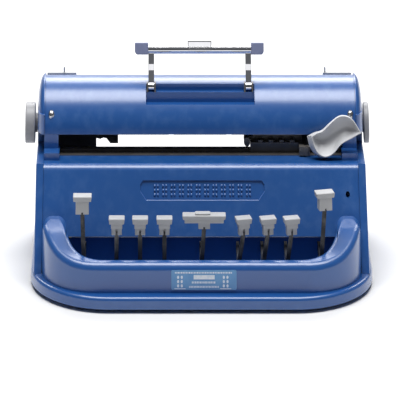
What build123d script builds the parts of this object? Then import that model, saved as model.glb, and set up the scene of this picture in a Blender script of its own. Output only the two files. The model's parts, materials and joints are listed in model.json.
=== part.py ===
"""Mechanical braille writer: enamelled castings, chord keys, a sliding embossing carriage,
a paper roller with two knobs, and a carry handle that folds into the top cover.

Frame: +X to the user's right, +Y to the rear, +Z up. The origin is the middle of the base,
on the plane that the rubber feet rest on. Millimetres."""
from build123d import *
import math
import os

# ---------------------------------------------------------------- driving dimensions
PANEL_X = 185.75        # outer face of a side panel
PANEL_T = 8.25          # side panel thickness
INNER_X = PANEL_X - PANEL_T
BASE_X = 189.5          # half width of the base flange
Y_FRONT = -114.5        # front of the base flange
Y_REAR = 114.5          # rear of the base flange
FRONT_R = 88.0          # plan radius of the base's front corners
RIM_R = 62.0            # plan radius of the hand-rest wall's front corners
REAR_R = 14.0           # plan radius of the base's rear corners
FOOT_H = 3.0
FLANGE_TOP = 12.0
FLOOR_TOP = 6.0
LEDGE_W = 12.0          # step from the flange's edge to the hand-rest wall

RIM_T = 13.0            # hand-rest wall thickness at the front
ARM_IN = 150.0          # half width between the two arms of the hand rest
HOLLOW_R = 42.0         # plan radius of the hollow's front corners
RIM_FRONT_TOP = 33.6    # crest height at the front
ARM_TOP = 51.2          # crest height beside the front cover
ARM_ROUND = 10.0        # rounding of the arms' shoulders

SLOPE_FOOT = (-39.5, 37.0)      # (Y, Z) lower edge of the sloping front cover
SLOPE_HEAD = (-19.5, 87.0)      # (Y, Z) where the slope meets the ledge
LEDGE_REAR = 15.5
SHEET = 3.0             # wall of the cast covers
CELL_PITCH = 9.4        # raised cells in the name recess
DOT_PITCH = 3.4

AXIS_Y = 45.5           # paper roller axis
AXIS_Z = 103.5
COVER_R = 37.0          # outer radius of the round top cover
PANEL_R = COVER_R + 1.4         # radius of a side panel's round end
DOME_DEPTH = 20.0       # how far in from its edge the round end is domed
COVER_T = 2.6
COVER_END = INNER_X - 0.2
COVER_REAR_Z = 86.0     # lower edge of the cover's rear skirt

KNOB_R = 15.8
SHAFT_R = 4.0
ROLLER_R = 9.5
PRESS_R = 5.0
PRESS_AT = (56.83, 113.06)      # (Y, Z) pressure roller axis
RUN = 0.05              # radial running clearance of a shaft in its bearing
GAP = 0.3               # gap between faces that pass each other

DECK_Z = 62.0           # top of the rear deck
BACK_Y = 111.5          # outer face of the rear wall

KEY_AXIS = (95.0, 25.0)         # (Y, Z) pivot rod of all the keys
KEY_ROD_R = 3.0
LEVER_T = 3.0
LEVER_H = 8.0
STEM_Y = -76.0
KEY_STEMS = {           # stem position across the machine, and the cap's, in X
    "dot3": (-94.2, -94.2), "dot2": (-68.2, -68.2), "dot1": (-41.3, -41.3),
    "space": (-0.4, 2.7),
    "dot4": (40.4, 46.2), "dot5": (67.5, 73.3), "dot6": (93.8, 99.4),
    "line": (-130.1, -132.4), "back": (131.2, 136.6),
}
RIGHT_YAW = 12.0        # the right-hand caps turn a little towards the middle
CAP_TOP = 61.6          # top of the six dot keys' caps
SPACE_TOP = 64.0
LINE_TOP = 78.4
BACK_TOP = 81.2

HANDLE_AXIS = (27.0, 136.8)     # (Y, Z) handle hinge
HANDLE_LEAN = 12.0      # degrees the raised handle leans back
HANDLE_LEN = 29.0
BAR_R = 3.6
LEG_X = 55.9
LEG_W = 6.7

RAIL = (20.0, 27.0, 83.2, 89.2)         # carriage rail: Y from, Y to, Z from, Z to
STRIP_FRONT = 7.6       # front edge of the strip on the ledge
GUIDE_ROD = (33.5, 77.0, 3.0)           # (Y, Z, radius)

MARGIN_BAR = (99.0, 67.0, 2.5)          # (Y, Z, radius)
RELEASE_AXIS = (97.0, 100.0)            # (Y, Z) paper release lever pivots
BELL = (-154.0, 66.0, 42.0)             # centre of the margin bell's dome
BELL_R = 14.0
HAMMER_AXIS = (-136.0, 31.0)            # (X, Z) hammer pivot

os.makedirs("parts", exist_ok=True)


# ---------------------------------------------------------------- helpers
def block(x0, x1, y0, y1, z0, z1):
    """A box between two corners."""
    centre = ((x0 + x1) / 2, (y0 + y1) / 2, (z0 + z1) / 2)
    return Pos(*centre) * Box(x1 - x0, y1 - y0, z1 - z0)


def bar_x(y, z, radius, x0, x1):
    """A round bar along X."""
    return Pos((x0 + x1) / 2, y, z) * Rot(0, 90, 0) * Cylinder(radius, x1 - x0)


def bar_y(x, z, radius, y0, y1):
    """A round bar along Y."""
    return Pos(x, (y0 + y1) / 2, z) * Rot(90, 0, 0) * Cylinder(radius, y1 - y0)


def bar_z(x, y, radius, z0, z1):
    """A round bar along Z."""
    return Pos(x, y, (z0 + z1) / 2) * Cylinder(radius, z1 - z0)


def tube_x(y, z, outer, inner, x0, x1):
    """A round tube along X."""
    return bar_x(y, z, outer, x0, x1) - bar_x(y, z, inner, x0 - 1, x1 + 1)


def profile_x(wire_or_points, x0, x1):
    """A closed YZ outline, as (Y, Z) points, pushed along X."""
    corners = [(0, y, z) for y, z in wire_or_points]
    face = make_face(Polyline(*corners, close=True))
    return extrude(Pos(x0, 0, 0) * face, amount=x1 - x0, dir=(1, 0, 0))


def profile_y(points, y0, y1):
    """A closed XZ outline, as (X, Z) points, pushed along Y."""
    face = make_face(Polyline(*[(x, 0, z) for x, z in points], close=True))
    return extrude(Pos(0, y0, 0) * face, amount=y1 - y0, dir=(0, 1, 0))


def plan(half_x, y0, y1, front_r, rear_r, z0, z1):
    """A slab with its own front and rear corner radii."""
    sketch = Pos(0, (y0 + y1) / 2) * Rectangle(2 * half_x, y1 - y0)
    front = [v for v in sketch.vertices() if v.Y < (y0 + y1) / 2]
    sketch = fillet(front, front_r)
    if rear_r:
        rear = [v for v in sketch.vertices() if v.Y > y1 - 0.01]
        sketch = fillet(rear, rear_r)
    return extrude(Pos(0, 0, z0) * sketch, z1 - z0)


def slope_y(z, out=0.0):
    """Y of the sloping front cover's outer face at height z, moved out by a distance."""
    (y0, z0), (y1, z1) = SLOPE_FOOT, SLOPE_HEAD
    return y0 + (y1 - y0) * (z - z0) / (z1 - z0) - out


def cover_y(z, radius=COVER_R):
    """Y of the round cover's front face at height z."""
    return AXIS_Y - math.sqrt(radius ** 2 - (z - AXIS_Z) ** 2)


def mirror_x(shape):
    return mirror(shape, about=Plane.YZ)


def save(shape, node):
    export_step(shape, f"parts/{node}.step")


def softened(shape, edges, radius):
    """Round the chosen edges, all together or one by one if the kernel refuses them."""
    try:
        return fillet(edges, radius)
    except Exception:
        print("fillet skipped at radius", radius)
        return shape


# ---------------------------------------------------------------- castings of the frame
def base_pan():
    flange = plan(BASE_X, Y_FRONT, Y_REAR, FRONT_R, REAR_R, FOOT_H, FLANGE_TOP)
    top = flange.faces().sort_by(Axis.Z)[-1]
    flange = softened(flange, top.edges(), 3.0)
    rim_y = Y_FRONT + LEDGE_W
    rear = -25.0
    rim = plan(INNER_X, rim_y, rear, RIM_R, 0, FLANGE_TOP - 1.0, ARM_TOP + 8)
    inside_y = rim_y + RIM_T
    hollow = plan(ARM_IN, inside_y, rear + 1, HOLLOW_R, 0, FLOOR_TOP, ARM_TOP + 9)
    rim -= hollow
    # crest line, seen from the side: level at the front, swooping up to the arms
    crest = Spline(
        (0, rim_y - 1, RIM_FRONT_TOP), (0, rim_y + 8, RIM_FRONT_TOP + 1.0), (0, -79, 39.8),
        (0, -62, 47.2), (0, -47, 50.6), (0, rear + 1, ARM_TOP + 1),
    )
    above = [crest @ 1, (0, rear + 1, 90), (0, rim_y - 1, 90), crest @ 0]
    sky = make_face(crest + Polyline(*above))
    rim -= extrude(Pos(-200, 0, 0) * sky, amount=400, dir=(1, 0, 0))
    # the arms stop against the slope of the front cover
    cut = [(slope_y(0), 0), (slope_y(90), 90), (rear + 2, 90), (rear + 2, 0)]
    rim -= profile_x(cut, -200, 200)
    crest_edges = [
        e for e in rim.edges()
        if e.center().Z > RIM_FRONT_TOP - 2 and e.center().Y < slope_y(e.center().Z) - 1.0
    ]
    rim = softened(rim, crest_edges, 5.8)
    middle = (ARM_IN + INNER_X) / 2
    width = INNER_X - ARM_IN
    arch = RectangleRounded(width, 60.0, ARM_ROUND)
    for side in (-1, 1):
        over = block(side * middle - width / 2, side * middle + width / 2, -78, 0, 41, 70)
        keep = extrude(Pos(side * middle, 0, ARM_TOP - 30.0) * Rot(90, 0, 0) * arch, 80)
        rim -= over - keep
    pan = flange + rim
    pan -= plan(ARM_IN, inside_y, rear, HOLLOW_R, 0, FLOOR_TOP, FLANGE_TOP + 5)
    pan -= block(-172, 172, slope_y(FLANGE_TOP) + 6, 108.0, FLOOR_TOP, FLANGE_TOP + 5)
    # recess under the front cover, between the two arms and the mechanism
    pan -= block(-ARM_IN, ARM_IN, -60, slope_y(FLANGE_TOP) + 8, FLOOR_TOP, FLANGE_TOP + 5)
    return pan


def rubber_feet():
    feet = [bar_z(x, y, 9.0, 0, FOOT_H) for x in (-150, 150) for y in (-72, 96)]
    return Compound(feet)


def recess_tool():
    """The name recess of the front cover: a long lozenge, sunk square to the slope."""
    (y0, z0), (y1, z1) = SLOPE_FOOT, SLOPE_HEAD
    lean = math.degrees(math.atan2(y1 - y0, z1 - z0))
    middle_z = 69.0
    half_w, half_h, corner = 69.5, 7.0, 6.5
    outline = Polyline(
        (-half_w, half_h - 3), (-half_w + 3, half_h), (half_w - 3, half_h), (half_w, half_h - 3),
        (half_w, -half_h + corner), (half_w - corner, -half_h), (-half_w + corner, -half_h),
        (-half_w, -half_h + corner), close=True,
    )
    place = Pos(1.5, slope_y(middle_z), middle_z) * Rot(90 - lean, 0, 0)
    pocket = extrude(make_face(outline), amount=1.2, both=True)
    return place, place * pocket


def raised_cells(place):
    """Plain six-dot cells in a row on the floor of the recess."""
    dots = []
    for cell in range(12):
        for column in (-0.5, 0.5):
            for row in (-1, 0, 1):
                x = (cell - 5.5) * CELL_PITCH + column * DOT_PITCH
                dots.append(place * Pos(x, row * DOT_PITCH, -1.7) * Sphere(1.5))
    return dots


def front_cover():
    outer = [
        SLOPE_FOOT, SLOPE_HEAD, (LEDGE_REAR, SLOPE_HEAD[1]), (LEDGE_REAR, SLOPE_HEAD[1] - 6),
        (LEDGE_REAR - SHEET, SLOPE_HEAD[1] - 6), (LEDGE_REAR - SHEET, SLOPE_HEAD[1] - SHEET),
        (SLOPE_HEAD[0] + 2.4, SLOPE_HEAD[1] - SHEET), (SLOPE_FOOT[0] + 3.3, SLOPE_FOOT[1]),
    ]
    cover = profile_x(outer, -COVER_END, COVER_END)
    nose = [
        e for e in cover.edges()
        if abs(e.center().Y - SLOPE_HEAD[0]) < 0.1 and abs(e.center().Z - SLOPE_HEAD[1]) < 0.1
    ]
    cover = softened(cover, nose, 6.5)
    place, pocket = recess_tool()
    cover -= pocket
    lip = [
        e for e in cover.edges()
        if abs(e.center().Y - slope_y(e.center().Z)) < 0.03 and 60.5 < e.center().Z < 77.5
        and abs(e.center().X) < 75
    ]
    cover = softened(cover, lip, 0.8)
    for dot in raised_cells(place):
        cover += dot
    # adjusting hole on the right
    cover -= bar_y(164.6, 66.0, 2.4, -60, 0)
    return cover


def panel_outline():
    """Side outline of a panel below its round end: slope, ledge, rear ear and rear wall."""
    ledge = SLOPE_HEAD[1] + 1.0
    rear = AXIS_Y + PANEL_R
    return [
        (slope_y(FLANGE_TOP, 1.6), FLANGE_TOP), (slope_y(ledge, 1.6), ledge), (AXIS_Y, ledge),
        (AXIS_Y, AXIS_Z), (rear, AXIS_Z), (RELEASE_AXIS[0] + 3, AXIS_Z),
        (RELEASE_AXIS[0] + 8, RELEASE_AXIS[1] - 8), (BACK_Y, DECK_Z + 4), (BACK_Y, FLANGE_TOP),
    ]


def panel_end():
    """The domed round end of the left panel, carried straight down to the ledge in front."""
    flat = PANEL_R - DOME_DEPTH
    turns = [math.radians(a) for a in range(0, 91, 15)]
    curve = [
        (-INNER_X - PANEL_T * math.cos(a), 0, flat + DOME_DEPTH * math.sin(a)) for a in turns
    ]
    side = [
        Line((-INNER_X, 0, 0), (-PANEL_X, 0, 0)), Line((-PANEL_X, 0, 0), curve[0]),
        Spline(*curve, tangents=[(0, 0, 1), (1, 0, 0)]),
        Line(curve[-1], (-INNER_X, 0, 0)),
    ]
    half = make_face(side)
    dome = revolve(half, Axis.X, 360)
    dome &= block(-200, -150, -60, 60, 0, 60)
    front = extrude(half, AXIS_Z - SLOPE_HEAD[1] - 1.0, dir=(0, 1, 0))
    front = Rot(90, 0, 0) * front
    return Pos(0, AXIS_Y, AXIS_Z) * (dome + front)


def left_side_panel():
    panel = profile_x(panel_outline(), -PANEL_X, -INNER_X)
    outside = panel.faces().sort_by(Axis.X)[0]
    rest = [e for e in outside.edges() if e.center().Z < AXIS_Z - 8 and e.center().Z > 14]
    panel = softened(panel, rest, 1.2)
    panel += panel_end()
    # pillar beside the paper slot, on a low pad
    panel += block(-INNER_X, -161.5, AXIS_Y - COVER_R, 19.0, 80.0, AXIS_Z - 0.3)
    panel += block(-INNER_X, -160.0, -7.0, 19.0, SLOPE_HEAD[1] + 0.05, SLOPE_HEAD[1] + 5.5)
    # clear the turned-down edge of the ledge
    panel -= block(-COVER_END, -150, 0, LEDGE_REAR + 0.1, 70, SLOPE_HEAD[1] + 0.05)
    # roller bearing, pressure roller bearing
    panel -= bar_x(AXIS_Y, AXIS_Z, SHAFT_R + RUN, -200, -150)
    panel -= bar_x(*PRESS_AT, 2.5 + RUN, -INNER_X - 3, -150)
    return panel


def recess_steps(grow=0.0):
    """YZ outline of the handle recess: a floor, a wall, a step for the clevises, a wall."""
    g = grow
    return [
        (5, 125.0 - g), (24.0 + g, 125.0 - g), (24.0 + g, 133.0 - g), (31.5 + g, 133.0 - g),
        (31.5 + g, 150), (5, 150),
    ]


def top_cover():
    outer = bar_x(AXIS_Y, AXIS_Z, COVER_R, -COVER_END, COVER_END)
    inner = bar_x(AXIS_Y, AXIS_Z, COVER_R - COVER_T, -200, 200)
    lower = block(-200, 200, -10, 100, 40, AXIS_Z)
    tray = outer & profile_x(recess_steps(COVER_T), -62.0 - COVER_T, 62.5 + COVER_T)
    shell = (outer - inner - lower) + (tray - lower)
    rear = AXIS_Y + COVER_R
    shell += block(-COVER_END, COVER_END, rear - COVER_T, rear, COVER_REAR_Z, AXIS_Z)
    front = AXIS_Y - COVER_R
    shell += block(-COVER_END, COVER_END, front, front + COVER_T, AXIS_Z - 0.2, AXIS_Z + 0.3)
    shell -= profile_x(recess_steps(), -62.0, 62.5)
    return shell


def rear_cover():
    corner = 4.0
    wall = profile_x(
        [
            (BACK_Y - SHEET, FLANGE_TOP), (BACK_Y, FLANGE_TOP), (BACK_Y, DECK_Z),
            (88.0, DECK_Z), (88.0, DECK_Z - SHEET), (BACK_Y - SHEET, DECK_Z - SHEET),
        ], -COVER_END, COVER_END,
    )
    edge = [
        e for e in wall.edges()
        if abs(e.center().Y - BACK_Y) < 0.1 and abs(e.center().Z - DECK_Z) < 0.1
    ]
    return softened(wall, edge, corner)


def screw_head(radius=3.4):
    """A round head with a cross recess, its flat underside at z = 0."""
    head = Sphere(radius * 1.25) & (Pos(0, 0, radius) * Box(20, 20, 2 * radius))
    head = Pos(0, 0, -radius * 0.75) * head & (Pos(0, 0, 5) * Box(20, 20, 10))
    head -= Pos(0, 0, 2.0) * Box(3.4, 0.8, 2.6)
    head -= Pos(0, 0, 2.0) * Box(0.8, 3.4, 2.6)
    return head


def cover_screws():
    heads = []
    rise = 118.4
    for x in (-170.0, 171.5):
        lean = math.degrees(math.asin((rise - AXIS_Z) / COVER_R))
        at = Pos(x, cover_y(rise), rise) * Rot(90 - lean, 0, 0)
        heads.append(at * screw_head())
    for x in (-165.0, 165.0):
        heads.append(Pos(x, BACK_Y, 50.0) * Rot(-90, 0, 0) * screw_head(3.0))
    for x in (-165.0, 165.0):
        rear = AXIS_Y + COVER_R
        heads.append(Pos(x, rear, 95.0) * Rot(-90, 0, 0) * screw_head(3.0))
    return Compound(heads)


def label_plate():
    rim_y = Y_FRONT + LEDGE_W
    plate = block(-34.0, 37.5, rim_y - 0.5, rim_y, 14.4, 29.0)
    corners = [e for e in plate.edges() if abs(e.center().Y - rim_y + 0.25) < 0.01]
    return softened(plate, corners, 1.5)


# ---------------------------------------------------------------- inside the frame
def carriage_rail():
    """Front rail, and the thin strip on the ledge in front of it that the paper slides over."""
    y0, y1, z0, z1 = RAIL
    rail = block(-INNER_X, INNER_X, y0, y1, z0, z1)
    rail -= block(-INNER_X + 12, INNER_X - 12, y0 - 1, y0 + 0.7, z0 + 2.4, z0 + 3.6)
    ledge = SLOPE_HEAD[1]
    strip = block(-159.7, 159.7, STRIP_FRONT, LEDGE_REAR, ledge, ledge + 0.7)
    return Compound([rail, strip])


def guide_rod():
    y, z, radius = GUIDE_ROD
    return bar_x(y, z, radius, -INNER_X, INNER_X)


def escapement_rack():
    """Toothed strip that steps the carriage along, one tooth for each cell."""
    pitch, depth = 6.2, 2.0
    left, right = -160.0, 160.0
    points = [(left, 66.0), (left, 61.0), (right, 61.0), (right, 66.0)]
    count = int((right - left) / pitch)
    for i in range(count):
        x = right - i * pitch
        points.append((x - 1.0, 66.0))
        points.append((x - 1.6, 66.0 + depth))
        points.append((x - pitch + 0.4, 66.0))
    strip = profile_y(points, 38.0, 41.0)
    for x in (-INNER_X, left):
        strip += block(x, x + INNER_X - 160.0, 38.0, 41.0, 61.0, 66.0)
    strip += block(right, INNER_X, 38.0, 41.0, 61.0, 66.0)
    return strip


def left_bracket():
    """Dark paper guide behind the left end of the slot, with a notch in its lower edge."""
    plate = block(-INNER_X, -94.0, 62.0, 65.0, 66.0, 94.0)
    plate -= block(-94.1 - 13.0, -90, 60, 70, 60.0, 82.8)
    gap = [(-119.0, 80.0), (-119.0, 87.0), (-114.6, 86.2), (-111.0, 87.2), (-107.4, 86.8),
           (-102.4, 82.2), (-94.0, 81.4), (-94.0, 80.0)]
    plate -= profile_y(gap, 60, 70)
    plate -= block(-119.0, -90, 60, 70, 60.0, 81.0)
    foot = block(-INNER_X, -140.0, 62.0, 74.0, 66.0, 69.0)
    return plate + foot


def right_bracket():
    """Bearing plate of the line feed behind the right end of the slot."""
    plate = block(112.0, INNER_X, 62.0, 65.0, 66.0, 94.0)
    foot = block(130.0, INNER_X, 62.0, 74.0, 66.0, 69.0)
    return plate + foot


def mainspring_housing():
    case = bar_y(156.0, 46.0, 14.0, 56.0, 72.0)
    post = block(150.0, 162.0, 60.0, 68.0, FLOOR_TOP, 40.0)
    boss = bar_y(156.0, 46.0, 4.0, 52.0, 56.0)
    return case + post + boss


def bell():
    """Margin bell: a hollow dome, the stand inside it, and the hammer's post and pin."""
    x, y, z = BELL
    dome = (Pos(x, y, z) * Sphere(BELL_R)) & block(x - 20, x + 20, y - 20, y + 20, z, z + 20)
    dome -= Pos(x, y, z) * Sphere(BELL_R - 1.6)
    stand = bar_z(x, y, 2.5, FLOOR_TOP, z + BELL_R - 1.7)
    hammer_x, hammer_z = HAMMER_AXIS
    post = block(hammer_x - 2.5, hammer_x + 2.5, y - 6, y - 2, FLOOR_TOP, hammer_z + 4)
    post += bar_y(hammer_x, hammer_z, 1.5, y - 6, y + 4)
    return Compound([dome, stand, post])


def bell_hammer():
    """Striker: a hub on the pin, an arm and a round head that rests just off the dome."""
    x, y, z = BELL
    hammer_x, hammer_z = HAMMER_AXIS
    head_z = z + 6.0
    reach = math.sqrt(BELL_R ** 2 - 4.0 ** 2)
    hub = bar_y(hammer_x, hammer_z, 3.0, y - 1.6, y + 2.0)
    arm = block(hammer_x - 1.0, hammer_x + 1.0, y - 1.2, y + 1.2, hammer_z, head_z)
    head = bar_x(y, head_z, 2.0, x + reach + GAP, hammer_x)
    return hub + arm + head - bar_y(hammer_x, hammer_z, 1.5 + RUN, y - 8, y + 8)


def key_rod():
    y, z = KEY_AXIS
    return bar_x(y, z, KEY_ROD_R, -150, 150)


def key_rod_brackets():
    y, z = KEY_AXIS
    ears = []
    for x in (-146.0, -18.0, 18.0, 146.0):
        ear = block(x - 2.5, x + 2.5, y - 7, y + 7, FLOOR_TOP, z + 6)
        ears.append(ear - bar_x(y, z, KEY_ROD_R, x - 5, x + 5))
    return Compound(ears)


def key_springs():
    """Return springs: a coil beside each lever, drawn as the sleeve that it fills."""
    y, z = KEY_AXIS
    sleeves = []
    for stem, _ in KEY_STEMS.values():
        sleeves.append(tube_x(y, z, 5.0, KEY_ROD_R + 0.3, stem + 4.0, stem + 11.5))
    return Compound(sleeves)


def key_comb():
    """Slotted guide plate that keeps the levers upright under the front cover."""
    comb = block(-ARM_IN + 1, ARM_IN - 1, -30.0, -27.0, FLOOR_TOP, 34.0)
    for stem, _ in KEY_STEMS.values():
        side = LEVER_T / 2 + 0.4
        comb -= block(stem - side, stem + side, -32, -25, 11.0, 31.0)
    return comb


def margin_bar():
    y, z, radius = MARGIN_BAR
    return bar_x(y, z, radius, -INNER_X, INNER_X)


def release_pins():
    y, z = RELEASE_AXIS
    pins = [bar_x(y, z, 2.5, s * (INNER_X - 6) - 6, s * (INNER_X - 6) + 6) for s in (-1, 1)]
    return Compound(pins)


# ---------------------------------------------------------------- handle
def handle_clevises():
    """Two fixed clevises, each with its hinge pin, on the step of the recess."""
    y, z = HANDLE_AXIS
    parts = []
    for side in (-1, 1):
        x = side * LEG_X
        half = LEG_W / 2 + GAP
        clevis = block(x - half - 1.6, x - half, y - 3.3, y + 3.3, 133.0, z + 3.2)
        clevis += block(x + half, x + half + 1.6, y - 3.3, y + 3.3, 133.0, z + 3.2)
        clevis += bar_x(y, z, 1.5, x - half - 1.6, x + half + 1.6)
        parts.append(clevis)
    return Compound(parts)


def raised(shape):
    """Lean a handle part, drawn upright at the hinge axis, to its raised place."""
    y, z = HANDLE_AXIS
    return Pos(0, y, z) * Rot(-HANDLE_LEAN, 0, 0) * shape


def handle_frame():
    frame = bar_x(0, HANDLE_LEN, BAR_R, -LEG_X - LEG_W / 2 - 0.2, LEG_X + LEG_W / 2 + 0.2)
    for side in (-1, 1):
        x = side * LEG_X
        x0, x1 = x - LEG_W / 2, x + LEG_W / 2
        leg = block(x0, x1, -1.7, 1.7, 0, HANDLE_LEN)
        eye = bar_x(0, 0, 3.0, x0, x1)
        frame += leg + eye
        frame -= bar_x(0, 0, 1.5 + RUN, x0 - 1, x1 + 1)
    return raised(frame)


def handle_end_tabs():
    tabs = []
    for side, length in ((-1, 15.4), (1, 14.6)):
        inner = LEG_X + LEG_W / 2 + 0.2
        lo, hi = sorted((side * inner, side * (inner + length)))
        tab = block(lo, hi, -3.0, 3.0, HANDLE_LEN - 4.2, HANDLE_LEN + 5.2)
        outer_low = [
            e for e in tab.edges().filter_by(Axis.Y)
            if abs(abs(e.center().X) - inner - length) < 0.1 and e.center().Z < HANDLE_LEN
        ]
        tab = softened(tab, outer_low, 3.4)
        rest = [
            e for e in tab.edges()
            if abs(abs(e.center().X) - inner - length) < 3.3 or e.center().Z > HANDLE_LEN + 5
        ]
        tabs.append(raised(softened(tab, rest, 0.7)))
    return Compound(tabs)


def handle_thumb_plate():
    plate = block(-13.8, 13.6, -4.6, 2.2, HANDLE_LEN - 0.8, HANDLE_LEN + 6.6)
    plate -= block(-12.8, 12.6, -5.0, -4.2, HANDLE_LEN + 0.2, HANDLE_LEN + 5.6)
    plate -= bar_x(0, HANDLE_LEN, BAR_R, -20, 20)
    top = plate.faces().sort_by(Axis.Z)[-1]
    return raised(softened(plate, top.edges(), 0.5))


# ---------------------------------------------------------------- keys
def key_lever(name, stem_top):
    """A flat lever from the pivot rod to the front, with a stem that rises to the cap."""
    stem_x, cap_x = KEY_STEMS[name]
    y, z = KEY_AXIS
    x0, x1 = stem_x - LEVER_T / 2, stem_x + LEVER_T / 2
    lever = block(x0, x1, STEM_Y - 1.5, y, z - LEVER_H / 2, z + LEVER_H / 2)
    lever += bar_x(y, z, 6.0, stem_x - 3.0, stem_x + 3.0)
    lever -= bar_x(y, z, KEY_ROD_R + RUN, stem_x - 5, stem_x + 5)
    foot = Pos(stem_x, STEM_Y, z) * Rectangle(4.6, 3.0)
    head = Pos(cap_x, STEM_Y, stem_top) * Rectangle(4.6, 3.0)
    stem = loft([foot, head])
    return lever + stem


def tiered_cap(x, yaw, top, tiers, slot_h):
    """A cap of stacked blocks, each (width, depth, y shift, height), from the top down.

    The top block narrows downwards, and a slot up the front of the skirt shows the stem."""
    cap = None
    z = 0.0
    for width, depth, shift, height in tiers:
        if cap is None:
            upper = Pos(0, shift, 0) * Rectangle(width, depth)
            lower = Pos(0, shift, -height) * Rectangle(width - 1.6, depth - 1.2)
            cap = loft([upper, lower])
        else:
            cap += block(-width / 2, width / 2, shift - depth / 2, shift + depth / 2, z - height, z)
        z -= height
    upright = [e for e in cap.edges() if abs((e @ 0).Z - (e @ 1).Z) > 1.0]
    cap = softened(cap, upright, 0.9)
    rim = cap.faces().sort_by(Axis.Z)[-1].edges()
    cap = softened(cap, rim, 0.8)
    cap -= block(-1.1, 1.1, -8.0, 0.0, z - 1.0, z + slot_h)
    return Pos(x, STEM_Y, top) * Rot(0, 0, yaw) * cap


DOT_TIERS = [(18.0, 12.0, 0.0, 4.2), (12.6, 10.0, 0.0, 3.4), (11.4, 7.0, 0.8, 5.4)]
TALL_TIERS = [(21.0, 13.0, 0.0, 3.8), (14.6, 11.0, 0.0, 9.6)]
SPACE_TIERS = [(48.5, 12.0, 0.0, 3.2), (43.5, 10.0, 0.0, 2.6), (13.0, 7.0, 0.8, 5.0)]


def cap_and_lever(name):
    cap_x = KEY_STEMS[name][1]
    yaw = RIGHT_YAW if name in ("dot4", "dot5", "dot6", "back") else 0.0
    if name == "space":
        tiers, top = SPACE_TIERS, SPACE_TOP
    elif name == "line":
        tiers, top = TALL_TIERS, LINE_TOP
    elif name == "back":
        tiers, top = TALL_TIERS, BACK_TOP
    else:
        tiers, top = DOT_TIERS, CAP_TOP
    cap = tiered_cap(cap_x, yaw, top, tiers, 1.5 if name in ("line", "back", "space") else 4.6)
    if name == "space":
        bump = block(-8.5, 8.5, -4.0, 4.0, -0.5, 1.1)
        cap += Pos(cap_x - 1.5, STEM_Y, top) * softened(bump, bump.edges().filter_by(Axis.Z), 2)
    bottom = top - sum(tier[3] for tier in tiers)
    lever = key_lever(name, bottom + 2.0)
    cap -= lever
    return cap, lever


# ---------------------------------------------------------------- carriage
def carriage_block():
    """Slider that wraps the front rail and rides on the guide rod."""
    y0, y1, z0, z1 = RAIL
    body = block(57.0, 118.0, 16.4, 38.0 - GAP, 80.5, 95.0)
    body -= block(50, 125, y0 - GAP, y1 + GAP, z0 - GAP, z1 + GAP)
    y, z, radius = GUIDE_ROD
    body += block(62.0, 112.0, y - 6, y + 4.0, z - 6, 81.0)
    body -= bar_x(y, z, radius + RUN, 40, 130)
    body -= block(50, 125, y0 - GAP, y1 + GAP, z0 - GAP, z1 + GAP)
    # open the slider's underside to the ledge's turned edge
    body -= block(50, 125, 10, y0 - GAP + 3, 70, 81.6)
    return body


def embossing_head():
    """Pin block on top of the slider, with its nose towards the left."""
    head = block(60.0, 116.0, 24.0, 35.4, 95.0, 99.5)
    nose = bar_y(53.2, 95.0, 3.6, 18.0, 34.0)
    head += nose + block(53.2, 60.0, 24.0, 34.0, 95.0, 98.0)
    for i in range(4):
        x = 66.0 + i * 12.0
        head += block(x, x + 5.0, 17.0, 24.0, 95.0, 96.6)
    return head


def embossing_pins():
    pins = []
    for column in (0, 1):
        for row in (0, 1, 2):
            x, y = 84.0 + column * 2.6, 28.6 + row * 2.6
            pins.append(bar_z(x, y, 0.8, 99.5, 101.2))
    return Compound(pins)


def lever_bracket():
    """Arm that reaches out of the slot, from the slider to the carriage lever."""
    arm = block(112.0, 118.0, 3.0, 16.4, 88.2, 95.0)
    arm += block(112.0, 124.0, 3.0, 8.0, 88.2, 95.0)
    arm += bar_z(121.0, 5.5, 3.4, 88.2, 95.0)
    arm -= bar_z(121.0, 5.5, 1.6, 80, 100)
    return arm


LEVER_TIPS = [(121.0, 104.6), (182.4, 107.4)]       # (X, Z) of the scoop's two corners
LEVER_UPPER = [(128.5, 108.0), (137.5, 109.6), (147.0, 115.4), (158.0, 120.9), (168.0, 120.6),
               (175.0, 116.6)]
LEVER_LOWER = [(172.0, 103.6), (160.0, 99.2), (150.0, 91.4), (139.5, 88.2), (130.0, 90.6),
               (123.6, 97.0)]
HOLLOW_TIPS = [(126.0, 103.6), (177.6, 108.9)]
HOLLOW_UPPER = [(137.5, 106.6), (148.5, 112.6), (158.5, 118.2), (167.5, 117.8), (173.0, 114.6)]
HOLLOW_LOWER = [(171.0, 106.0), (158.5, 101.5), (148.5, 93.6), (139.5, 90.9), (131.2, 92.9),
                (126.2, 98.0)]


def leaf(tips, upper, lower, y_front, y_back):
    """A slab between two curves that meet at two tips, with its faces towards the user."""
    start, end = tips
    outline = Spline(start, *upper, end) + Spline(end, *lower, start)
    slab = extrude(make_face(outline), amount=y_back - y_front, dir=(0, 0, 1))
    return Pos(0, y_back, 0) * Rot(90, 0, 0) * slab


def carriage_lever():
    """S-shaped scoop for the fingers, with a raised rim, on a short vertical pin."""
    scoop = leaf(LEVER_TIPS, LEVER_UPPER, LEVER_LOWER, -9.0, 1.0)
    scoop -= leaf(HOLLOW_TIPS, HOLLOW_UPPER, HOLLOW_LOWER, -10.0, -1.6)
    pin = bar_z(121.0, 5.5, 1.6 - RUN, 88.2, 99.5)
    web = block(119.4, 128.0, -1.0, 7.1, 95.3, 99.5)
    return scoop + (pin + web)


# ---------------------------------------------------------------- paper roller
def roller_shaft():
    return bar_x(AXIS_Y, AXIS_Z, SHAFT_R, -197.0, 192.0)


def sleeve_spans():
    """Five rubber sleeves with gaps between them."""
    length, gap = 60.0, 6.0
    first = -2.5 * length - 2 * gap
    return [(first + i * (length + gap), first + i * (length + gap) + length) for i in range(5)]


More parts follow.
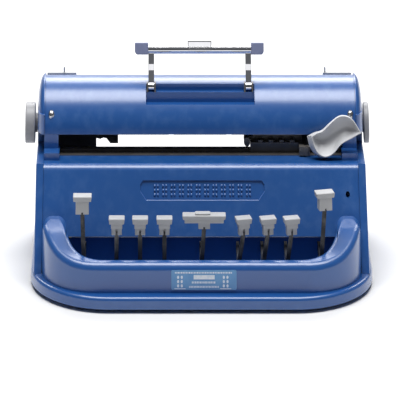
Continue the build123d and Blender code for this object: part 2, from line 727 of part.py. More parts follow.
def roller_sleeves():
    sleeves = [tube_x(AXIS_Y, AXIS_Z, ROLLER_R, SHAFT_R, a, b) for a, b in sleeve_spans()]
    return Compound(sleeves)


def line_ratchet():
    teeth, tip, root = 24, 11.9, 10.2
    points = []
    for i in range(teeth):
        a = 2 * math.pi * i / teeth
        b = a + 2 * math.pi / teeth * 0.85
        points.append((AXIS_Y + tip * math.cos(a), AXIS_Z + tip * math.sin(a)))
        points.append((AXIS_Y + root * math.cos(b), AXIS_Z + root * math.sin(b)))
    wheel = profile_x(points, 168.0, 171.0)
    return wheel - bar_x(AXIS_Y, AXIS_Z, SHAFT_R, 160, 175)


def knob(x_in, x_out):
    """A hand wheel between two X planes, with a hub that faces the panel."""
    side = 1 if x_out > 0 else -1
    lo, hi = sorted((x_in, x_out))
    wheel = bar_x(AXIS_Y, AXIS_Z, KNOB_R, lo, hi)
    rims = wheel.edges().filter_by(GeomType.CIRCLE)
    wheel = softened(wheel, rims, 1.4)
    dish = sorted((x_out - side * 1.4, x_out + side))
    wheel -= bar_x(AXIS_Y, AXIS_Z, KNOB_R - 4.5, *dish)
    return wheel


def left_knob():
    wheel = knob(-188.6, -200.2)
    hub = bar_x(AXIS_Y, AXIS_Z, 7.5, -188.8, -PANEL_X - 0.4)
    bore = bar_x(AXIS_Y, AXIS_Z, SHAFT_R, -197.0, -180)
    return wheel + hub - bore


def right_knob():
    wheel = knob(187.4, 193.6)
    hub = bar_x(AXIS_Y, AXIS_Z, 7.5, PANEL_X + 0.4, 187.6)
    bore = bar_x(AXIS_Y, AXIS_Z, SHAFT_R, 180, 192.0)
    return wheel + hub - bore


def pressure_roller():
    roller = bar_x(*PRESS_AT, 2.5, -INNER_X - 2.6, INNER_X + 2.6)
    for a, b in sleeve_spans():
        roller += bar_x(*PRESS_AT, PRESS_R, a, b)
    return roller


# ---------------------------------------------------------------- small levers at the rear
def release_lever(side):
    """Paper release lever: hub on the panel's pin, an arm, and a paddle behind the cover."""
    y, z = RELEASE_AXIS
    lo, hi = (-176.6, -173.2) if side < 0 else (173.2, 176.6)
    hub = bar_x(y, z, 5.5, lo, hi)
    arm = profile_x([(y - 3.4, z), (y + 3.4, z), (86.6, 131.0), (81.4, 131.0)], lo, hi)
    if side < 0:
        paddle = (-176.6, -143.0)
        pin_x = -157.0
    else:
        paddle = (143.5, 176.6)
        pin_x = 146.0
    blade = profile_x([(83.0, 126.0), (87.4, 126.0), (85.2, 134.2), (81.0, 134.2)], *paddle)
    lever = hub + arm + blade
    lever += bar_z(pin_x, 83.3, 0.9, 130.0, 138.6)
    return lever - bar_x(y, z, 2.5 + RUN, lo - 2, hi + 2)


def margin_stop(x):
    """Block on the margin bar with a thumb tab that leans back."""
    y, z, radius = MARGIN_BAR
    stop = block(x - 6, x + 6, y - 5.0, y + 5.0, z - 4.6, z + 3.6)
    stop += profile_x([(y + 1, z), (y + 5, z), (y + 11, z + 7), (y + 8, z + 8)], x - 4, x + 4)
    return stop - bar_x(y, z, radius + RUN, x - 10, x + 10)


FIXED = {
    "base_pan": base_pan, "rubber_feet": rubber_feet, "front_cover": front_cover,
    "left_side_panel": left_side_panel,
    "right_side_panel": lambda: mirror_x(left_side_panel()),
    "top_cover": top_cover, "rear_cover": rear_cover, "cover_screws": cover_screws,
    "label_plate": label_plate, "carriage_rail": carriage_rail, "guide_rod": guide_rod,
    "escapement_rack": escapement_rack, "left_bracket": left_bracket,
    "right_bracket": right_bracket, "mainspring_housing": mainspring_housing, "bell": bell,
    "key_rod": key_rod, "key_rod_brackets": key_rod_brackets, "key_springs": key_springs,
    "key_comb": key_comb, "margin_bar": margin_bar, "release_pins": release_pins,
    "handle_clevises": handle_clevises,
}
MOVING = {
    "handle_frame": handle_frame, "handle_end_tabs": handle_end_tabs,
    "handle_thumb_plate": handle_thumb_plate, "carriage_block": carriage_block,
    "embossing_head": embossing_head, "embossing_pins": embossing_pins,
    "lever_bracket": lever_bracket, "carriage_lever": carriage_lever,
    "roller_shaft": roller_shaft, "roller_sleeves": roller_sleeves,
    "line_ratchet": line_ratchet, "left_knob": left_knob, "right_knob": right_knob,
    "pressure_roller": pressure_roller,
    "left_release_lever": lambda: release_lever(-1),
    "right_release_lever": lambda: release_lever(1),
    "left_margin_stop": lambda: margin_stop(-130.0),
    "right_margin_stop": lambda: margin_stop(140.0),
    "bell_hammer": bell_hammer,
}

for node, make in {**FIXED, **MOVING}.items():
    save(make(), node)
for key in KEY_STEMS:
    key_cap, lever_bar = cap_and_lever(key)
    save(key_cap, f"{key}_key_cap")
    save(lever_bar, f"{key}_key_lever")
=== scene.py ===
"""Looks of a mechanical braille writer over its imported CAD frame. Metres, +Z up, +Y to rear."""
import json
import math

import bmesh
import bpy
from mathutils import Matrix, Vector


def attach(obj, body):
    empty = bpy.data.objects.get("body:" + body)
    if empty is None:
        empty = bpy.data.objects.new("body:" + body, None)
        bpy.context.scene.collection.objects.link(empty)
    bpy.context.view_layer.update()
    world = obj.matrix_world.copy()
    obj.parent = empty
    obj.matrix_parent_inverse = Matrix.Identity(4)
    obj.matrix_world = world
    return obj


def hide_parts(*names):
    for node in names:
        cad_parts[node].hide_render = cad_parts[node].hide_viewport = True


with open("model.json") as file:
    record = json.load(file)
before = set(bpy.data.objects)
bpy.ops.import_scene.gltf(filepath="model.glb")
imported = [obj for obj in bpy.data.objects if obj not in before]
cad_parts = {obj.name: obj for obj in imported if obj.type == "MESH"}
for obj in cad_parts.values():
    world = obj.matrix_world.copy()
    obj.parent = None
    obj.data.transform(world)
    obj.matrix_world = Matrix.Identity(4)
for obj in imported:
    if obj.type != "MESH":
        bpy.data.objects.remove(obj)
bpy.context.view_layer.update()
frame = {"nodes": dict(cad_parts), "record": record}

MM = 0.001
NODES = frame["nodes"]
KEYS = ("dot1", "dot2", "dot3", "dot4", "dot5", "dot6", "space", "line", "back")


# ---------------------------------------------------------------- node helpers
def new_material(name):
    """An empty node tree with one Principled shader wired to the output."""
    material = bpy.data.materials.new(name)
    material.use_nodes = True
    tree = material.node_tree
    shader = tree.nodes["Principled BSDF"]
    return material, tree, shader


def add(tree, kind, **values):
    """A node with its properties and unlinked inputs set."""
    node = tree.nodes.new(kind)
    for key, value in values.items():
        name = key.replace("_", " ").title() if key not in node.bl_rna.properties else key
        if key in node.bl_rna.properties:
            setattr(node, key, value)
        else:
            node.inputs[name].default_value = value
    return node


def noise(tree, scale, detail=4.0, roughness=0.55, stretch=(1, 1, 1)):
    """A noise factor in object space; stretch squeezes it along an axis."""
    place = add(tree, "ShaderNodeTexCoord")
    mapping = add(tree, "ShaderNodeMapping")
    mapping.inputs["Scale"].default_value = stretch
    texture = add(tree, "ShaderNodeTexNoise", scale=scale, detail=detail, roughness=roughness)
    tree.links.new(place.outputs["Object"], mapping.inputs["Vector"])
    tree.links.new(mapping.outputs["Vector"], texture.inputs["Vector"])
    return texture.outputs["Fac"]


def ramp(tree, factor, stops):
    """A colour ramp over a factor; stops are (position, colour)."""
    node = add(tree, "ShaderNodeValToRGB")
    points = node.color_ramp.elements
    while len(points) < len(stops):
        points.new(0.5)
    for point, (position, colour) in zip(points, stops):
        point.position = position
        point.color = (*colour, 1.0)
    tree.links.new(factor, node.inputs["Fac"])
    return node.outputs["Color"]


def ranged(tree, factor, low, high, start=0.3, stop=0.7):
    """A factor mapped to a range of numbers."""
    node = add(tree, "ShaderNodeMapRange")
    node.inputs["From Min"].default_value = start
    node.inputs["From Max"].default_value = stop
    node.inputs["To Min"].default_value = low
    node.inputs["To Max"].default_value = high
    tree.links.new(factor, node.inputs["Value"])
    return node.outputs["Result"]


def bump(tree, shader, heights, distance, strength=1.0):
    """Bump from one or more height outputs, each with its own weight."""
    total = None
    for output, weight in heights:
        scaled = add(tree, "ShaderNodeMath", operation="MULTIPLY")
        tree.links.new(output, scaled.inputs[0])
        scaled.inputs[1].default_value = weight
        if total is None:
            total = scaled.outputs[0]
            continue
        joined = add(tree, "ShaderNodeMath", operation="ADD")
        tree.links.new(total, joined.inputs[0])
        tree.links.new(scaled.outputs[0], joined.inputs[1])
        total = joined.outputs[0]
    node = add(tree, "ShaderNodeBump")
    node.inputs["Distance"].default_value = distance
    node.inputs["Strength"].default_value = strength
    tree.links.new(total, node.inputs["Height"])
    tree.links.new(node.outputs["Normal"], shader.inputs["Normal"])


def edge_wear(tree, low=0.0, high=1.0):
    """A factor that is high on sharp convex edges, broken up by noise."""
    geometry = add(tree, "ShaderNodeNewGeometry")
    raised = ranged(tree, geometry.outputs["Pointiness"], 0.0, 1.0, 0.52, 0.62)
    patch = ranged(tree, noise(tree, 90.0, 5.0), low, high, 0.45, 0.7)
    both = add(tree, "ShaderNodeMath", operation="MULTIPLY")
    tree.links.new(raised, both.inputs[0])
    tree.links.new(patch, both.inputs[1])
    return both.outputs[0]


def mixed(tree, factor, first, second):
    """One colour over another by a factor; each is a colour or an output."""
    node = add(tree, "ShaderNodeMix", data_type="RGBA")
    tree.links.new(factor, node.inputs["Factor"])
    for value, socket in ((first, node.inputs[6]), (second, node.inputs[7])):
        if isinstance(value, tuple):
            socket.default_value = (*value, 1.0)
        else:
            tree.links.new(value, socket)
    return node.outputs[2]


# ---------------------------------------------------------------- materials
def blue_enamel():
    """Thick satin enamel over a casting: fine grain, slow colour drift, paler worn edges."""
    material, tree, shader = new_material("blue_enamel")
    drift = ramp(tree, noise(tree, 9.0, 3.0), [(0.3, (0.009, 0.087, 0.322)),
                                              (0.7, (0.010, 0.092, 0.334))])
    fine = mixed(tree, ranged(tree, noise(tree, 900.0, 2.0), 0.0, 0.10), drift,
                 (0.024, 0.105, 0.350))
    worn = mixed(tree, edge_wear(tree, 0.0, 0.3), fine, (0.09, 0.20, 0.46))
    tree.links.new(worn, shader.inputs["Base Color"])
    tree.links.new(ranged(tree, noise(tree, 320.0, 3.0), 0.31, 0.36), shader.inputs["Roughness"])
    shader.inputs["Specular IOR Level"].default_value = 0.55
    shader.inputs["Coat Weight"].default_value = 0.95
    shader.inputs["Coat Roughness"].default_value = 0.24
    bump(tree, shader, [(noise(tree, 1100.0, 2.0), 0.6), (noise(tree, 420.0, 2.0), 0.4)],
         0.0002, 0.14)
    return material


def moulded_plastic(name, dark, light, roughness=0.42):
    """Satin moulded plastic with a faint mould texture and soft tone drift."""
    material, tree, shader = new_material(name)
    tone = ramp(tree, noise(tree, 35.0, 4.0), [(0.3, dark), (0.7, light)])
    handled = mixed(tree, edge_wear(tree, 0.0, 0.5), tone, tuple(min(1.0, c * 1.15) for c in light))
    tree.links.new(handled, shader.inputs["Base Color"])
    rough = ranged(tree, noise(tree, 120.0, 4.0), roughness - 0.05, roughness + 0.06)
    tree.links.new(rough, shader.inputs["Roughness"])
    shader.inputs["Specular IOR Level"].default_value = 0.5
    shader.inputs["Subsurface Weight"].default_value = 0.04
    shader.inputs["Subsurface Radius"].default_value = (0.002, 0.002, 0.002)
    bump(tree, shader, [(noise(tree, 700.0, 2.0), 1.0)], 0.0001, 0.3)
    return material


def metal(name, colour, roughness, stretch=(1, 1, 1), scale=260.0, depth=0.00005):
    """Metal with a drawn or turned grain, and smudges in its gloss."""
    material, tree, shader = new_material(name)
    dark = tuple(c * 0.82 for c in colour)
    tone = ramp(tree, noise(tree, 22.0, 5.0), [(0.3, dark), (0.7, colour)])
    tree.links.new(tone, shader.inputs["Base Color"])
    shader.inputs["Metallic"].default_value = 1.0
    rough = ranged(tree, noise(tree, 75.0, 5.0), roughness * 0.75, roughness * 1.35)
    tree.links.new(rough, shader.inputs["Roughness"])
    bump(tree, shader, [(noise(tree, scale, 3.0, stretch=stretch), 1.0)], depth, 0.5)
    return material


def black_oxide(name, dark, light):
    """Blackened steel: dull, slightly blotched, bright where edges rub."""
    material, tree, shader = new_material(name)
    tone = ramp(tree, noise(tree, 45.0, 5.0), [(0.3, dark), (0.7, light)])
    rubbed = mixed(tree, edge_wear(tree, 0.0, 0.8), tone, (0.14, 0.135, 0.13))
    tree.links.new(rubbed, shader.inputs["Base Color"])
    shader.inputs["Metallic"].default_value = 0.35
    tree.links.new(ranged(tree, noise(tree, 130.0, 4.0), 0.30, 0.48), shader.inputs["Roughness"])
    bump(tree, shader, [(noise(tree, 500.0, 3.0, stretch=(0.15, 1, 1)), 1.0)], 0.00006, 0.5)
    return material


def rubber(name, colour):
    """Matte rubber with ground-in grain and pale dust."""
    material, tree, shader = new_material(name)
    dusty = tuple(c * 2.2 for c in colour)
    tone = ramp(tree, noise(tree, 60.0, 6.0), [(0.35, colour), (0.75, dusty)])
    tree.links.new(tone, shader.inputs["Base Color"])
    tree.links.new(ranged(tree, noise(tree, 200.0, 4.0), 0.6, 0.85), shader.inputs["Roughness"])
    bump(tree, shader, [(noise(tree, 800.0, 3.0), 1.0)], 0.0001, 0.6)
    return material


def label_foil():
    """Printed plastic foil: a soft blue with a slightly mottled print."""
    material, tree, shader = new_material("label")
    tone = ramp(tree, noise(tree, 120.0, 4.0), [(0.3, (0.11, 0.30, 0.58)),
                                               (0.7, (0.15, 0.36, 0.64))])
    tree.links.new(tone, shader.inputs["Base Color"])
    tree.links.new(ranged(tree, noise(tree, 90.0, 3.0), 0.28, 0.38), shader.inputs["Roughness"])
    bump(tree, shader, [(noise(tree, 300.0, 2.0), 1.0)], 0.00004, 0.3)
    return material


def print_white():
    """White print on the label, a little worn."""
    material, tree, shader = new_material("label_print")
    tone = ramp(tree, noise(tree, 400.0, 4.0), [(0.3, (0.70, 0.78, 0.86)),
                                               (0.6, (0.86, 0.89, 0.93))])
    tree.links.new(tone, shader.inputs["Base Color"])
    tree.links.new(ranged(tree, noise(tree, 200.0, 3.0), 0.35, 0.5), shader.inputs["Roughness"])
    return material


MATERIALS = {
    "blue_enamel": blue_enamel(),
    "label": label_foil(),
    "feet_rubber": rubber("feet_rubber", (0.012, 0.012, 0.012)),
    "bright_steel": metal("bright_steel", (0.60, 0.60, 0.61), 0.22, (0.1, 1, 1), 400.0),
    "chrome": metal("chrome", (0.80, 0.80, 0.82), 0.06, (1, 1, 1), 90.0, 0.0000004),
    "tab_grey": moulded_plastic("tab_grey", (0.19, 0.215, 0.36), (0.24, 0.27, 0.42), 0.35),
    # painted light: the blackened steel's tone is raised well above real black oxide to stand in for
    # light on the rail and other parts in the deep-shadowed slot
    "blackened_steel": black_oxide("blackened_steel", (0.12, 0.112, 0.105), (0.18, 0.168, 0.158)),
    # painted shade: the same blackened steel at its darker tone, a shaded copy kept for the key levers
    "lever_shaded_black": black_oxide("lever_shaded_black", (0.010, 0.011, 0.014), (0.030, 0.031, 0.035)),
    "spring_steel": metal("spring_steel", (0.42, 0.42, 0.44), 0.28),
    "bell_brass": metal("bell_brass", (0.76, 0.58, 0.26), 0.16),
    "roller_rubber": rubber("roller_rubber", (0.016, 0.016, 0.017)),
    "grey_plastic": moulded_plastic("grey_plastic", (0.40, 0.405, 0.415), (0.44, 0.445, 0.455)),
    "lever_grey": moulded_plastic("lever_grey", (0.50, 0.505, 0.52), (0.56, 0.565, 0.58), 0.32),
    # painted shade: a darker copy of the key-cap grey that stands in for the shade falling on the
    # knobs
    "knob_shaded_grey": moulded_plastic("knob_shaded_grey", (0.30, 0.302, 0.315), (0.37, 0.372, 0.385), 0.38),
    "stop_plastic": moulded_plastic("stop_plastic", (0.02, 0.02, 0.022), (0.035, 0.035, 0.038)),
    "label_print": print_white(),
}


def paint(obj, material):
    obj.data.materials.clear()
    obj.data.materials.append(MATERIALS[material])


def paint_nodes():
    """Each CAD node gets the material of its own slot."""
    for part in frame["record"]["subparts"]:
        paint(NODES[part["node"]], part["material_slot"])


def smooth_by_angle(obj, degrees=35.0):
    """Smooth shading that keeps the creases sharper than an angle."""
    for polygon in obj.data.polygons:
        polygon.use_smooth = True
    obj.data.set_sharp_from_angle(angle=math.radians(degrees))


def round_edges(node, width, segments=3, degrees=40.0):
    """Real edges are never knife sharp: a small bevel catches the light."""
    obj = NODES[node]
    modifier = obj.modifiers.new("edge", "BEVEL")
    modifier.width = width * MM
    modifier.segments = segments
    modifier.limit_method = "ANGLE"
    modifier.angle_limit = math.radians(degrees)
    modifier.use_clamp_overlap = True
    modifier.harden_normals = True


# ---------------------------------------------------------------- pieces over the CAD
def piece(name, bm, material, body, replaced=(), sharp=35.0):
    """A mesh in the row frame, in millimetres, that rides on a CAD body."""
    bmesh.ops.recalc_face_normals(bm, faces=bm.faces)
    bmesh.ops.scale(bm, vec=(MM, MM, MM), verts=bm.verts)
    mesh = bpy.data.meshes.new(name)
    bm.to_mesh(mesh)
    bm.free()
    obj = bpy.data.objects.new(name, mesh)
    bpy.context.scene.collection.objects.link(obj)
    smooth_by_angle(obj, sharp)
    paint(obj, material)
    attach(obj, body)
    if replaced:
        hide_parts(*replaced)
    return obj


def through(points, count):
    """Points along a smooth curve through the given (X, Z) points, ends included."""
    padded = [points[0]] + list(points) + [points[-1]]
    spans = len(points) - 1
    out = []
    for i in range(count):
        u = spans * i / (count - 1)
        k = min(int(u), spans - 1)
        t = u - k
        a, b, c, d = (Vector(q) for q in padded[k:k + 4])
        out.append(0.5 * (2 * b + (c - a) * t + (2 * a - 5 * b + 4 * c - d) * t * t
                          + (3 * b - a - 3 * c + d) * t ** 3))
    return out


def skin(bm, rows, closed=False):
    """Quads between rows of equal length; each row may close on itself."""
    rings = [[bm.verts.new(p) for p in row] for row in rows]
    for lower, upper in zip(rings, rings[1:]):
        count = len(lower)
        for i in range(count if closed else count - 1):
            j = (i + 1) % count
            bm.faces.new((lower[i], lower[j], upper[j], upper[i]))
    return rings


SCOOP_TIPS = ((121.0, 104.6), (182.4, 107.4))      # (X, Z) of the trough's two corners
SCOOP_UPPER = ((128.5, 107.4), (137.5, 109.6), (147.0, 115.4), (158.0, 120.9), (168.0, 120.6),
               (175.0, 116.6))
SCOOP_LOWER = ((123.6, 97.0), (130.0, 90.6), (139.5, 88.2), (150.0, 91.4), (160.0, 99.2),
               (172.0, 103.6))
SCOOP_STEPS = 49        # points along each edge of the trough
UPPER_LIP_Y = -5.4
LOWER_LIP_REACH = 4.2   # how much further forward the middle of the lower lip stands
TROUGH_DEPTH = 7.4
LIP_WIDTH = 0.7
LIP_ROUND = 0.3


def scoop():
    """The carriage lever: a thin curved trough. Its mouth leans back and is turned a little
    to the right."""
    count = SCOOP_STEPS
    left, right = SCOOP_TIPS
    top = through((left,) + SCOOP_UPPER + (right,), count)
    low = through((left,) + SCOOP_LOWER + (right,), count)

    def lip(p, share):
        """A point of the outline moved to where the turned mouth has it."""
        near = max(0.0, 1.0 - (p.x - left[0]) / 40.0)
        return Vector((p.x + 4.4 * near * near, p.y + 2.3 * share * (0.35 + 0.65 * near)))

    def brow(i):
        """How far forward the lower lip stands; it runs back to the upper lip at the tips."""
        swell = max(0.0, math.sin(math.pi * i / (count - 1))) ** 0.6
        return UPPER_LIP_Y - LOWER_LIP_REACH * swell

    outline = [(p, 0.0, UPPER_LIP_Y) for p in top]
    outline += [(low[i], 1.0, brow(i)) for i in range(count - 2, 0, -1)]
    middle = sum((p for p, _, _ in outline), Vector((0, 0))) / len(outline)
    bm = bmesh.new()
    rows = []
    for inward, y in ((3.6, 1.0), (1.2, 0.4), (0.2, -1.4), (0.0, -3.6)):
        rows.append([(p.x + (middle - p).normalized().x * inward, y,
                      p.y + (middle - p).normalized().y * inward) for p, _, _ in outline])
    mouth = [(lip(p, share), y) for p, share, y in outline]
    rows.append([(q.x, y + 0.4, q.y) for q, y in mouth])
    rows.append([(q.x + (middle - q).normalized().x * LIP_ROUND, y,
                  q.y + (middle - q).normalized().y * LIP_ROUND) for q, y in mouth])
    rings = skin(bm, rows, closed=True)
    bm.faces.new(rings[0])
    # the trough inside the lip, joined to the lip's last ring
    across = 17
    grid = []
    for i in range(count):
        tip = i in (0, count - 1)
        a, b = lip(top[i], 0.0), lip(low[i], 0.0 if tip else 1.0)
        a += (middle - a).normalized() * LIP_ROUND
        b += (middle - b).normalized() * LIP_ROUND
        width = (b - a).length
        edge = min(0.2, LIP_WIDTH / max(width, 1.0))
        front = UPPER_LIP_Y if tip else brow(i)
        line = [(a.x, UPPER_LIP_Y, a.y)]
        for j in range(across):
            t = j / (across - 1)
            p = a.lerp(b, edge + (1 - 2 * edge) * t)
            bow = 1.0 - (abs(t - 0.5) / 0.5) ** 1.8
            deep = TROUGH_DEPTH * bow * (1.0 - abs(2 * i / (count - 1) - 1.0) ** 7)
            base = UPPER_LIP_Y + (front - UPPER_LIP_Y) * t
            line.append((p.x, base + deep * min(1.0, width / 12.0), p.y))
        grid.append(line + [(b.x, front, b.y)])
    skin(bm, grid)
    bm.verts.ensure_lookup_table()
    bmesh.ops.remove_doubles(bm, verts=bm.verts, dist=0.02)
    return bm


def rod(bm, start, end, radius, sides=12):
    """A round rod between two points."""
    start, end = Vector(start), Vector(end)
    axis = (end - start).normalized()
    turn = axis.to_track_quat("Z", "Y")
    rows = []
    for where in (start, end):
        rows.append([where + turn @ Vector((radius * math.cos(2 * math.pi * k / sides),
                                            radius * math.sin(2 * math.pi * k / sides), 0))
                     for k in range(sides)])
    low, high = skin(bm, rows, closed=True)
    bm.faces.new(low)
    bm.faces.new(high)


def slab(bm, x0, x1, y0, y1, z0, z1):
    """A plain box."""
    made = bmesh.ops.create_cube(bm, size=1.0)
    for v in made["verts"]:
        v.co = Vector((x0 + (v.co.x + 0.5) * (x1 - x0), y0 + (v.co.y + 0.5) * (y1 - y0),
                       z0 + (v.co.z + 0.5) * (z1 - z0)))


KEY_AXIS = (95.0, 25.0)         # (Y, Z) pivot rod of the keys
COIL_START = 4.7                # from the middle of a key lever
COIL_LENGTH = 6.1
STEMS = (-94.2, -68.2, -41.3, -0.4, 40.4, 67.5, 93.8, -130.1, 131.2)


def coils():
    """A wound return spring beside each key lever, on the pivot rod."""
    bm = bmesh.new()
    turns, steps, sides, radius, wire = 6, 20, 6, 4.3, 0.55
    for stem in STEMS:
        rows = []
        for i in range(turns * steps + 1):
            a = 2 * math.pi * i / steps
            x = stem + COIL_START + COIL_LENGTH * i / (turns * steps)
            centre = Vector((x, KEY_AXIS[0] + radius * math.cos(a),
                             KEY_AXIS[1] + radius * math.sin(a)))
            out = Vector((0, math.cos(a), math.sin(a)))
            side = Vector((1, 0, 0))
            rows.append([centre + out * wire * math.cos(b) + side * wire * math.sin(b)
                         for b in (2 * math.pi * k / sides for k in range(sides))])
        rings = skin(bm, rows, closed=True)
        bm.faces.new(rings[0])
        bm.faces.new(rings[-1])
    return bm


HANDLE_AXIS = (27.0, 136.8)     # (Y, Z) hinge of the handle
HANDLE_LEAN = math.radians(12.0)
HANDLE_LEN = 29.0
LEG_X = 55.9
LEG_HALF = 3.35
BAR_RADIUS = 3.6


def raised(y, z):
    """A point of the handle, drawn upright at its hinge, leant back to its raised place."""
    c, s = math.cos(HANDLE_LEAN), math.sin(HANDLE_LEAN)
    return HANDLE_AXIS[0] + y * c + z * s, HANDLE_AXIS[1] - y * s + z * c


def handle_legs():
    """Two strip legs with a joggle half way up, an eye at the hinge, and the round cross bar."""
    bm = bmesh.new()
    centre = [(0.0, 1.5), (0.0, 3.4), (0.65, 12.6), (-0.75, 17.4), (0.0, 22.0),
              (0.0, HANDLE_LEN - 2)]
    for side in (-1, 1):
        x0, x1 = side * LEG_X - LEG_HALF, side * LEG_X + LEG_HALF
        rows = []
        for y, z in centre:
            fy, fz = raised(y - 1.25, z)
            by, bz = raised(y + 1.25, z)
            rows.append([(x0, fy, fz), (x1, fy, fz), (x1, by, bz), (x0, by, bz)])
        rings = skin(bm, rows, closed=True)
        bm.faces.new(rings[0])
        bm.faces.new(rings[-1])
        hy, hz = raised(0, 0)
        rod(bm, (x0, hy, hz), (x1, hy, hz), 3.0, 24)
    y, z = raised(0, HANDLE_LEN)
    end = LEG_X + LEG_HALF + 0.2
    rod(bm, (-end, y, z), (end, y, z), BAR_RADIUS, 32)
    return bm


def thumb_plate():
    """Framed grip plate at the middle of the bar; its field is tipped down a little."""
    bm = bmesh.new()

    def at(x, y, z):
        yy, zz = raised(y, HANDLE_LEN + z)
        return bm.verts.new((x, yy, zz))

    x0, x1, z0, z1 = -13.8, 13.6, -0.8, 6.6
    front = [at(x0, -4.6, z0), at(x1, -4.6, z0), at(x1, -4.6, z1), at(x0, -4.6, z1)]
    rear = [at(x0, 2.2, z0), at(x1, 2.2, z0), at(x1, 2.2, z1), at(x0, 2.2, z1)]
    rim = 0.8
    inner = [at(x0 + rim, -4.6, z0 + rim), at(x1 - rim, -4.6, z0 + rim),
             at(x1 - rim, -4.6, z1 - rim), at(x0 + rim, -4.6, z1 - rim)]
    field = [at(x0 + rim, -2.4, z0 + rim), at(x1 - rim, -2.4, z0 + rim),
             at(x1 - rim, -4.4, z1 - rim), at(x0 + rim, -4.4, z1 - rim)]
    for i in range(4):
        j = (i + 1) % 4
        bm.faces.new((front[i], front[j], inner[j], inner[i]))
        bm.faces.new((inner[i], inner[j], field[j], field[i]))
        bm.faces.new((front[i], front[j], rear[j], rear[i]))
    bm.faces.new(field)
    bm.faces.new(rear)
    return bm


def label_marks():
    """Plain print on the label: bars, a box and six-dot cells, with no lettering."""
    bm = bmesh.new()
    front, back = -103.06, -102.95

    def bar(x0, x1, z0, z1):
        slab(bm, x0, x1, front, back, z0, z1)

    def dashes(x0, x1, z0, z1, widths):
        x, k = x0, 0
        while x + widths[k % len(widths)] < x1:
            bar(x, x + widths[k % len(widths)], z0, z1)
            x += widths[k % len(widths)] + 0.55
            k += 1

    dashes(-30.0, 33.5, 26.6, 27.7, (1.1, 0.8, 1.4, 1.0, 1.7))
    bar(-9.5, 13.5, 22.2, 25.4)
    dashes(-11.5, 15.5, 19.2, 20.7, (1.2, 0.9, 1.5))
    dashes(-14.5, 18.5, 16.0, 17.4, (0.9, 1.4, 1.1, 1.0))
    for x in (-26.5, -22.5, 23.5, 27.5):
        for z in (17.4, 20.6, 23.8):
            rod(bm, (x, front, z), (x, back, z), 1.2, 16)
    bar(-30.6, -18.4, 15.0, 15.6)
    bar(19.4, 31.6, 15.0, 15.6)
    return bm


def ledge_screw():
    """A small bright screw in the rail near the left end of the slot."""
    bm = bmesh.new()
    rod(bm, (-139.0, 19.85, 85.0), (-139.0, 20.3, 85.0), 1.5, 20)
    return bm


def build_pieces():
    piece("carriage_lever_scoop", scoop(), "lever_grey", "carriage_lever",
          ("carriage_lever",), 50.0)
    piece("key_return_coils", coils(), "spring_steel", "frame", ("key_springs",))
    legs = piece("handle_bar_and_legs", handle_legs(), "chrome", "handle",
                 ("handle_frame",), 8.0)
    edge = legs.modifiers.new("edge", "BEVEL")
    edge.width, edge.segments, edge.harden_normals = 0.35 * MM, 2, True
    piece("handle_grip_plate", thumb_plate(), "chrome", "handle",
          ("handle_thumb_plate",), 8.0)
    piece("label_marks", label_marks(), "label_print", "frame")
    piece("ledge_screw", ledge_screw(), "bright_steel", "frame")


def round_all():
    """Small rounds on the hard edges that show."""
    for key in KEYS:
        round_edges(f"{key}_key_cap", 0.45)
        round_edges(f"{key}_key_lever", 0.3, 2)
    for node, width in (
        ("carriage_rail", 0.3), ("left_bracket", 0.3), ("right_bracket", 0.3),
        ("carriage_block", 0.5), ("embossing_head", 0.4), ("lever_bracket", 0.5),
        ("handle_end_tabs", 0.5), ("handle_clevises", 0.3),
        ("left_side_panel", 0.8), ("right_side_panel", 0.8), ("front_cover", 0.35),
        ("top_cover", 0.8), ("rear_cover", 0.6), ("base_pan", 0.8), ("label_plate", 0.12),
        ("left_margin_stop", 0.5), ("right_margin_stop", 0.5), ("key_rod_brackets", 0.4),
        ("left_release_lever", 0.5), ("right_release_lever", 0.5), ("rubber_feet", 0.5),
    ):
        round_edges(node, width)


# ---------------------------------------------------------------- stage, light and camera
CENTRE = Vector((-0.00095, 0.0, 0.0545))    # the point in the middle of the picture
ELEVATION = math.radians(14.8)
DISTANCE = 5.3
CAMERA_LEFT = 0.0541                    # the camera stands a little left of the middle
SQUEEZE = 1.51                          # the picture is taken to be this much narrower than life
LENS = 423.2


def camera():
    """The reference view is squeezed sideways: round screw heads and the round hole in the
    front stand about 1.4 times taller than wide in it, and a machine 394 mm wide and 140 mm
    high fits its outline at 1.51. The model keeps its real proportions, and only this camera squeezes.
    Its up vector leans back towards the lens, so a step up the picture covers less height than a step
    across covers width."""
    data = bpy.data.cameras.new("camera")
    data.lens = LENS
    data.sensor_width = 36.0
    data.clip_start = 0.1
    data.clip_end = 60.0
    cam = bpy.data.objects.new("camera", data)
    bpy.context.scene.collection.objects.link(cam)
    back = Vector((0.0, -math.cos(ELEVATION), math.sin(ELEVATION)))
    up = Vector((0.0, math.sin(ELEVATION), math.cos(ELEVATION)))
    lean = math.acos(1.0 / SQUEEZE)
    tilted_up = up * math.cos(lean) + back * math.sin(lean)
    place = CENTRE + back * DISTANCE + Vector((-CAMERA_LEFT, 0.0, 0.0))
    towards = (place - CENTRE).normalized()
    sheared = Matrix.Identity(4)
    for column, vector in enumerate((Vector((1.0, 0.0, 0.0)), tilted_up, towards, place)):
        for row in range(3):
            sheared[row][column] = vector[row]
    stand = bpy.data.objects.new("camera_stand", None)
    bpy.context.scene.collection.objects.link(stand)
    cam.parent = stand
    cam.matrix_parent_inverse = sheared
    bpy.context.scene.camera = cam


def area_light(name, place, aim, size, power, colour=(1, 1, 1)):
    data = bpy.data.lights.new(name, "AREA")
    data.shape = "RECTANGLE"
    data.size, data.size_y = size
    data.energy = power
    data.color = colour
    lamp = bpy.data.objects.new(name, data)
    lamp.location = place
    lamp.rotation_mode = "QUATERNION"
    lamp.rotation_quaternion = (Vector(aim) - Vector(place)).to_track_quat("-Z", "Y")
    bpy.context.scene.collection.objects.link(lamp)


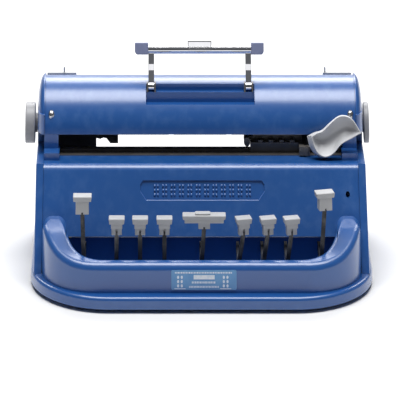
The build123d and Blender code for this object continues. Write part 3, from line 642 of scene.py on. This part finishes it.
def plain_surface(name, dark, light, scale, roughness):
    """A matte material with a slow drift between two tones."""
    material, tree, shader = new_material(name)
    tone = ramp(tree, noise(tree, scale, 2.0), [(0.3, dark), (0.7, light)])
    tree.links.new(tone, shader.inputs["Base Color"])
    shader.inputs["Roughness"].default_value = roughness
    return material


def floor_sweep():
    """A pale seamless floor that curves up into the backdrop."""
    mesh = bpy.data.meshes.new("floor")
    bm = bmesh.new()
    half, front, rear, radius, top, steps = 6.0, -7.0, 4.0, 1.5, 6.0, 16
    rows = [(front, 0.0), (rear, 0.0)]
    for i in range(1, steps + 1):
        a = math.pi / 2 * i / steps
        rows.append((rear + radius * math.sin(a), radius * (1 - math.cos(a))))
    rows.append((rear + radius, top))
    pairs = [[bm.verts.new((x, y, z)) for x in (-half, half)] for y, z in rows]
    for (a, b), (c, d) in zip(pairs, pairs[1:]):
        bm.faces.new((a, b, d, c)).smooth = True
    bm.to_mesh(mesh)
    bm.free()
    floor = bpy.data.objects.new("floor", mesh)
    bpy.context.scene.collection.objects.link(floor)
    mesh.materials.append(plain_surface("sweep", (0.77, 0.77, 0.775), (0.79, 0.79, 0.795), 3.0, 0.9))


def flag_card():
    """A low black card in front, out of sight, that keeps the upright faces from mirroring
    the far floor."""
    mesh = bpy.data.meshes.new("flag")
    corners = [(-1.6, -0.46, 0.0), (1.6, -0.46, 0.0), (1.6, -0.56, 0.24), (-1.6, -0.56, 0.24)]
    mesh.from_pydata(corners, [], [(0, 1, 2, 3)])
    card = bpy.data.objects.new("flag", mesh)
    bpy.context.scene.collection.objects.link(card)
    mesh.materials.append(
        plain_surface("flag_black", (0.010, 0.012, 0.016), (0.014, 0.016, 0.02), 8.0, 1.0))
    card.visible_camera = False
    card.visible_shadow = False


def stage():
    """The sweep, a soft box overhead, a lower one behind, a wash on the backdrop, the flag
    and a weak cool sky."""
    floor_sweep()
    area_light("overhead", (0.0, -0.2, 1.75), (0.0, -0.2, 0.0), (1.7, 0.95), 39.0)
    area_light("rear_box", (0.0, 1.7, 1.55), (0.0, 0.0, 0.1), (2.8, 0.9), 44.0)
    area_light("back_wash", (0.0, 2.2, 1.6), (0.0, 4.6, 0.9), (4.0, 1.5), 95.0)
    flag_card()
    world = bpy.data.worlds.new("studio")
    bpy.context.scene.world = world
    world.use_nodes = True
    backdrop = world.node_tree.nodes["Background"]
    backdrop.inputs["Color"].default_value = (0.90, 0.93, 1.0, 1.0)
    backdrop.inputs["Strength"].default_value = 0.16
    bpy.context.scene.view_settings.view_transform = "Standard"


paint_nodes()
# the knobs take the darker copy of the cap grey: painted shade
for node in ("left_knob", "right_knob"):
    paint(NODES[node], "knob_shaded_grey")
# the key levers take the shaded copy of the blackened steel: painted shade
for key in KEYS:
    paint(NODES[f"{key}_key_lever"], "lever_shaded_black")
for name, obj in NODES.items():
    smooth_by_angle(obj)
round_all()
build_pieces()
camera()
stage()
